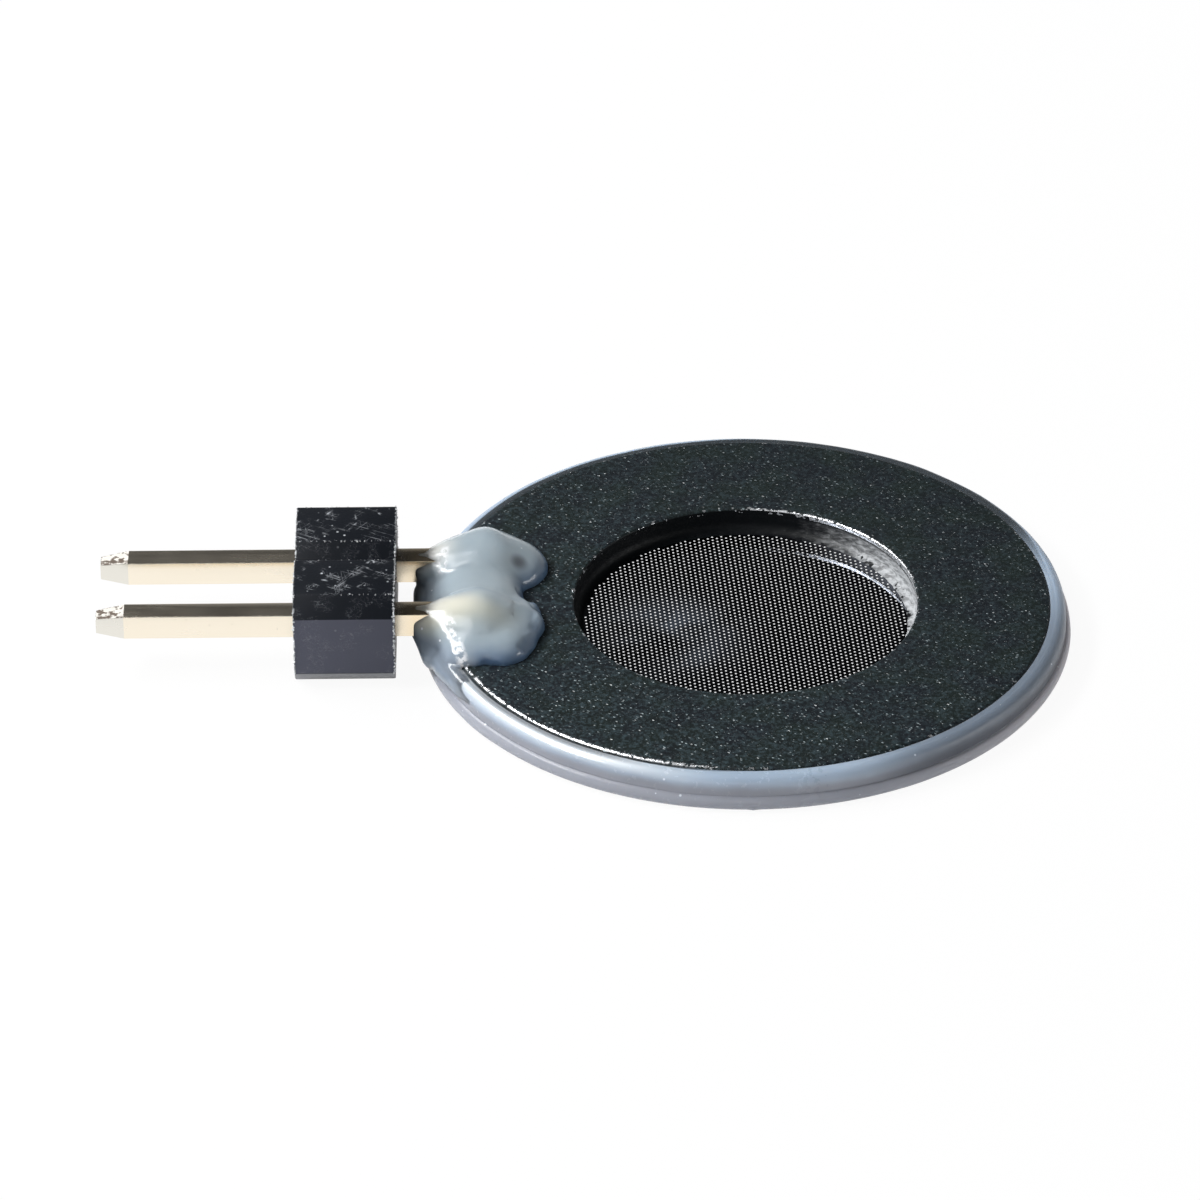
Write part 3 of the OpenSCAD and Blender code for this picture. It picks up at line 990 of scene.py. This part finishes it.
sealant = {
    "voxel": 0.042,
    "bodySmooth": 55,
    "smooth": 8,
    # beads as [x, y, z, radius in X, radius in Y, radius in Z]; each chain is a run of them
    "body": [
        # over the back pin
        [[-8.10, 1.28, 1.10, 0.40, 0.50, 0.50],
         [-7.40, 1.40, 1.00, 0.70, 1.00, 0.84],
         [-6.60, 1.52, 0.95, 1.02, 1.30, 1.04],
         [-6.00, 1.54, 0.95, 1.00, 1.12, 0.64]],
        # over the front pin
        [[-8.15, -1.28, 1.08, 0.40, 0.50, 0.50],
         [-7.40, -1.38, 1.00, 0.70, 1.10, 0.82],
         [-6.75, -1.36, 0.95, 0.95, 1.40, 0.96],
         [-6.25, -1.30, 0.95, 0.90, 1.15, 0.74]],
        # low round the front one's foot
        [[-7.05, -2.15, 0.95, 0.74, 0.90, 0.56], [-6.25, -2.15, 0.95, 0.86, 0.90, 0.60],
         [-6.00, -1.25, 0.95, 0.90, 0.86, 0.60], [-6.00, -0.75, 0.95, 0.84, 0.70, 0.52]],
        # across the valley between the pins
        [[-6.80, 0.80, 0.95, 1.10, 0.70, 0.72], [-6.70, -0.60, 0.95, 1.15, 0.70, 0.74]],
        [[-7.55, 0.90, 0.80, 0.66, 0.50, 0.54], [-7.55, -0.90, 0.80, 0.66, 0.50, 0.54]],
    ],
    # drawn out thin to the pins and down over the rim
    "tails": [
        [[-8.40, 1.27, 1.27, 0.10, 0.34, 0.32], [-7.80, 1.28, 1.18, 0.30, 0.46, 0.46]],
        [[-8.44, -1.27, 1.27, 0.10, 0.34, 0.32], [-7.80, -1.28, 1.16, 0.30, 0.46, 0.47]],
        [[-8.36, -1.34, 0.98, 0.14, 0.26, 0.24], [-7.86, -2.10, 0.66, 0.36, 0.30, 0.34]],
        [[-7.98, 0.95, 0.64, 0.50, 0.36, 0.34], [-7.98, -0.95, 0.64, 0.50, 0.36, 0.34]],
    ],
    # runs along the rim as [degrees from the header's side, distance from the axis, level, radius]
    "runs": [
        [[8, 8.12, 0.84, 0.28], [13, 8.06, 0.70, 0.34], [19, 7.99, 0.64, 0.33], [25, 7.93, 0.62, 0.31],
         [33, 7.88, 0.61, 0.28]],
        [[-8, 8.06, 0.78, 0.28], [-15, 8.00, 0.68, 0.34], [-22, 7.93, 0.62, 0.31], [-30, 7.88, 0.60, 0.28]],
        [[-8, 8.06, 0.62, 0.30], [8, 8.06, 0.62, 0.30]],
    ],
    "lowest": 0.30,
    "rimOutside": [(0, -1), (8.31, -1), (8.31, 0.0), (8.28, 0.22), (8.23, 0.36), (8.16, 0.41)],
    "rimShoulder": ((7.933, 0.69), 0.223),
    "darkSpot": (-5.80, 1.00, 1.45),
    "thinColours": ((0.085, 0.155, 0.275), (0.14, 0.22, 0.345)),
    "deepColours": ((0.30, 0.37, 0.42), (0.40, 0.455, 0.49)),
    "filmColours": ((0.20, 0.245, 0.31), (0.32, 0.375, 0.44)),
    # where the pins show through, as (y, x where it starts, colour, strength)
    "tints": [(-1.75, -5.5, (0.40, 0.42, 0.385), 0.9), (-1.40, -6.3, (0.80, 0.78, 0.66), 0.85),
              (1.34, -7.0, (0.78, 0.77, 0.70), 0.75)],
}


def makeSealantMaterial():
    material, shader, place = newMaterial("sealant")
    x, y, z = splitXyz(place)
    reach = addVector("LENGTH", addFlat(place))
    cloud = addNoise(place, 0.9 / mm, 3.0)
    overRim = addFade(reach, 7.3 * mm, 7.7 * mm)
    thin = addMix(overRim, addMix(cloud, *sealant["thinColours"]),
                  addMix(cloud, *sealant["filmColours"]))
    thick = addFade(z, 0.98 * mm, 1.55 * mm)
    colour = addMix(thick, thin, addMix(cloud, *sealant["deepColours"]))
    # the pins show through: cream near the header, olive further in over the front one
    for pinY, startX, shade, strength in sealant["tints"]:
        over = addFade(distanceFrom(y, pinY * mm), 0.0, 0.75 * mm, 1.0, 0.0)
        outwards = addFade(x, startX * mm, (startX - 1.1) * mm, 0.0, strength)
        colour = addMix(times(over, outwards, thick), colour, shade)
    # a dark spot near the top of the back lobe
    darkSpot = addDistance(place, sealant["darkSpot"])
    darkSpot = addFade(darkSpot, 0.08 * mm, 0.34 * mm, 0.85, 0.0)
    colour = addMix(darkSpot, colour, (0.10, 0.105, 0.12))
    dust = useGroup(specks, place, PerMm=4.0, Size=0.18, Share=0.22)["Mask"]
    colour = addMix(times(dust, 0.8), colour, (0.86, 0.89, 0.93))
    # painted highlights along the disc's edge in two places
    paintedHighlight = addRange(distanceFrom(reach, (discR + 0.01) * mm), 0.05 * mm, 0.16 * mm, 1.0, 0.0)
    torn = addRange(addNoise(place, 6 / mm, 3.0, 0.6), 0.46, 0.56, 0.0, 0.85)
    atBack = addFade(distanceFrom(y, 1.0 * mm), 0.22 * mm, 0.42 * mm, 1.0, 0.0)
    atFront = addFade(y, -1.70 * mm, -2.05 * mm)
    paintedHighlight = times(times(paintedHighlight, torn), times(overRim, largest(atBack, atFront)))
    colour = addMix(paintedHighlight, colour, (0.88, 0.90, 0.93))
    setLook(shader, colour, addRange(cloud, 0.3, 0.7, 0.13, 0.22))
    scatterLight(shader, 0.8, (1.0, 1.0, 1.0), 0.6)
    addBump(shader, addNoise(place, 3.5 / mm, 3.0), 0.010, 0.4)
    return material


def addBead(x, y, z, rx, ry, rz):
    bpy.ops.mesh.primitive_uv_sphere_add(segments=32, ring_count=16, location=(x, y, z))
    bead = bpy.context.object
    bead.scale = (rx, ry, rz)
    setInMesh()
    return bead


def skinOver(chain):
    # stretches one skin over each two neighbouring beads
    skins = []
    for near, far in zip(chain, chain[1:]):
        skins.append(joinInto(addBead(*near), addBead(*far)))
        bpy.ops.object.mode_set(mode="EDIT")
        bpy.ops.mesh.select_all(action="SELECT")
        bpy.ops.mesh.convex_hull()
        objectMode()
    return skins


def melt(skins, smoothing):
    piece = joinInto(*skins)
    applyModifier(piece, "REMESH", mode="VOXEL", voxel_size=sealant["voxel"])
    applyModifier(piece, "SMOOTH", factor=0.5, iterations=smoothing)
    return piece


def rimBead(degrees, reach, z, radius):
    around = math.radians(180 + degrees)
    return reach * math.cos(around), reach * math.sin(around), z, radius, radius, radius


def makeSealant():
    piece = melt([skin for chain in sealant["body"] for skin in skinOver(chain)], sealant["bodySmooth"])
    chains = sealant["tails"] + [[rimBead(*bead) for bead in run] for run in sealant["runs"]]
    piece = melt([piece] + [skin for chain in chains for skin in skinOver(chain)], sealant["smooth"])
    # its low edge on the coat wanders
    markVertices(piece, "skirt", lambda co: co.z < 1.35 and co.x > -7.2 and co.y < 0.1
                 and math.hypot(co.x, co.y) < 7.4)
    jitter(piece, 0.20, 0.55, "skirt")
    jitter(piece, 0.05, 0.9)
    applyModifier(piece, "SMOOTH", factor=0.5, iterations=9)

    # cut away what the disc, the seal and the pins fill
    outline = sealant["rimOutside"] + arcPoints(*sealant["rimShoulder"], -8, 88, 8)
    rim = drawOutline(outline + [(7.75, topZ), (0, topZ)], "rim")
    spinRound(160)
    cutAway(piece, rim)
    cutAway(piece, addCube((-9.5, -9, -1), (9.5, 9, sealant["lowest"]), "below"))
    for side in ("front", "back"):
        cutAway(piece, addCube(*boxMm("header_pin_" + side), "pinRoom"))
        low, high = boxMm("solder_joint_" + side)
        cutAway(piece, addCube((low.x, low.y, topZ - 0.1), high, "jointRoom"))
    setSlots(piece, makeSealantMaterial())
    finishPiece(piece, "tailSealant", "tail_sealant", 50)


makeSealant()


# Finishes for the pieces that the coat, the seal and the sealant hide

def makeCeramicMaterial():
    material, shader, place = newMaterial("piezoCeramic")
    grain = addNoise(place, 14 / mm, 4.0, 0.6)
    pores = useGroup(specks, place, PerMm=9.0, Size=0.2, Share=0.2)["Mask"]
    colour = addMix(grain, (0.50, 0.43, 0.34), (0.60, 0.53, 0.42))
    colour = addMix(pores, colour, (0.3, 0.25, 0.2))
    setLook(shader, colour, addRange(grain, 0.3, 0.7, 0.6, 0.8))
    addBump(shader, grain, 0.004, 0.5)
    return material


def dressNodes():
    glue = makeCloudedMaterial("glue", 2, 3.0, ((0.42, 0.32, 0.18), (0.56, 0.45, 0.28)), (0.2, 0.35),
                               0.004, 0.4)
    solder = makeCloudedMaterial("solder", 6, 3.0, ((0.62, 0.62, 0.63), (0.78, 0.78, 0.77)), (0.18, 0.4),
                                 0.006, 0.5, 1.0)
    for node, material in (("bond_film", glue), ("piezo_ring", makeCeramicMaterial()),
                           ("solder_joint_front", solder), ("solder_joint_back", solder)):
        setSlots(frame["nodes"][node], material)
    print("dressed the hidden pieces")


dressNodes()


# Floor, world, lamps and camera

studio = {
    "floorSize": 3.0,
    "floorDrop": 0.00001,
    "whiteShare": 0.94,     # how much of the floor shows as plain white rather than as lit
    "horizon": 0.36,        # light from the room low down all round
    "above": 0.02,          # and from higher up
    "target": (-0.002, 0.0, 0.0005),
    "distance": 0.30,
    # lamps as [name, azimuth, elevation, width, height, watts]
    "lamps": [
        ["keyLeft", 163, 44, 0.28, 0.05, 0.78],
        ["keyHigh", 166, 63, 0.14, 0.08, 0.26],
        ["keyFront", 195, 42, 0.12, 0.05, 0.40],
        ["fillRight", 348, 13, 0.16, 0.06, 0.15],
        ["fillFront", 256, 24, 0.20, 0.10, 0.08],
    ],
}


def directionTo(azimuthDeg, elevationDeg):
    around, up = math.radians(azimuthDeg), math.radians(elevationDeg)
    return Vector((math.cos(around) * math.cos(up), math.sin(around) * math.cos(up), math.sin(up)))


def makeFloor():
    bpy.ops.mesh.primitive_plane_add(size=studio["floorSize"], location=(0, 0, -studio["floorDrop"]))
    floor = bpy.context.object
    floor.name = "floor"
    material, shader, _place = newMaterial("floorWhite")
    tree = material.node_tree
    setLook(shader, (0.86, 0.86, 0.87), 1.0, 0.0, 0.0)
    rays = addNode(tree, "ShaderNodeLightPath").outputs
    seen = largest(*(rays[name] for name in ("Is Camera Ray", "Is Glossy Ray", "Is Transmission Ray")))
    glow = addNode(tree, "ShaderNodeEmission", Strength=1.0)
    mixed = addNode(tree, "ShaderNodeMixShader")
    plug(times(seen, studio["whiteShare"]), mixed.inputs[0])
    plug(shader.outputs[0], mixed.inputs[1])
    plug(glow.outputs[0], mixed.inputs[2])
    plug(mixed.outputs[0], tree.nodes["Material Output"].inputs["Surface"])
    setSlots(floor, material)


def makeWorld():
    world = bpy.data.worlds.new("studio")
    bpy.context.scene.world = world
    world.use_nodes = True
    tree = world.node_tree
    height = splitXyz(addNode(tree, "ShaderNodeTexCoord").outputs["Generated"])[2]
    height = addFade(height, 0.12, 0.40)
    room = addMix(height, (studio["horizon"],) * 3, (studio["above"],) * 3)
    seen = addNode(tree, "ShaderNodeLightPath").outputs["Is Camera Ray"]
    plug(addMix(seen, room, (1.0, 1.0, 1.0)), tree.nodes["Background"].inputs["Color"])


def makeLamps():
    for name, azimuth, elevation, width, height, watts in studio["lamps"]:
        direction = directionTo(azimuth, elevation)
        place = Vector(studio["target"]) + direction * studio["distance"]
        bpy.ops.object.light_add(type="AREA", location=place)
        lamp = bpy.context.object
        lamp.name = name
        lamp.data.shape = "RECTANGLE"
        lamp.data.size = width
        lamp.data.size_y = height
        lamp.data.energy = watts
        lamp.rotation_mode = "QUATERNION"
        lamp.rotation_quaternion = direction.to_track_quat("Z", "Y")


view = {
    "aim": (-3.699, 0.587, 0.6),
    "distance": 188.157,
    "elevation": 32.484,
    "azimuth": -0.234,     # measured from the front
    "roll": -0.3995,
    "lens": 221.12,
    "sensor": 36,
    "reach": (0.01, 20),
}


def makeCamera():
    back = directionTo(view["azimuth"] - 90, view["elevation"])
    bpy.ops.object.camera_add(location=(Vector(view["aim"]) + back * view["distance"]) * mm)
    camera = bpy.context.object
    camera.data.sensor_width = view["sensor"]
    camera.data.lens = view["lens"]
    camera.data.clip_start, camera.data.clip_end = view["reach"]
    camera.rotation_mode = "QUATERNION"
    roll = Quaternion((0, 0, 1), math.radians(view["roll"]))
    camera.rotation_quaternion = back.to_track_quat("Z", "Y") @ roll
    bpy.context.scene.camera = camera


makeFloor()
makeWorld()
makeLamps()
makeCamera()
bpy.context.scene.view_settings.view_transform = "Standard"
print("lit the floor and set the camera")
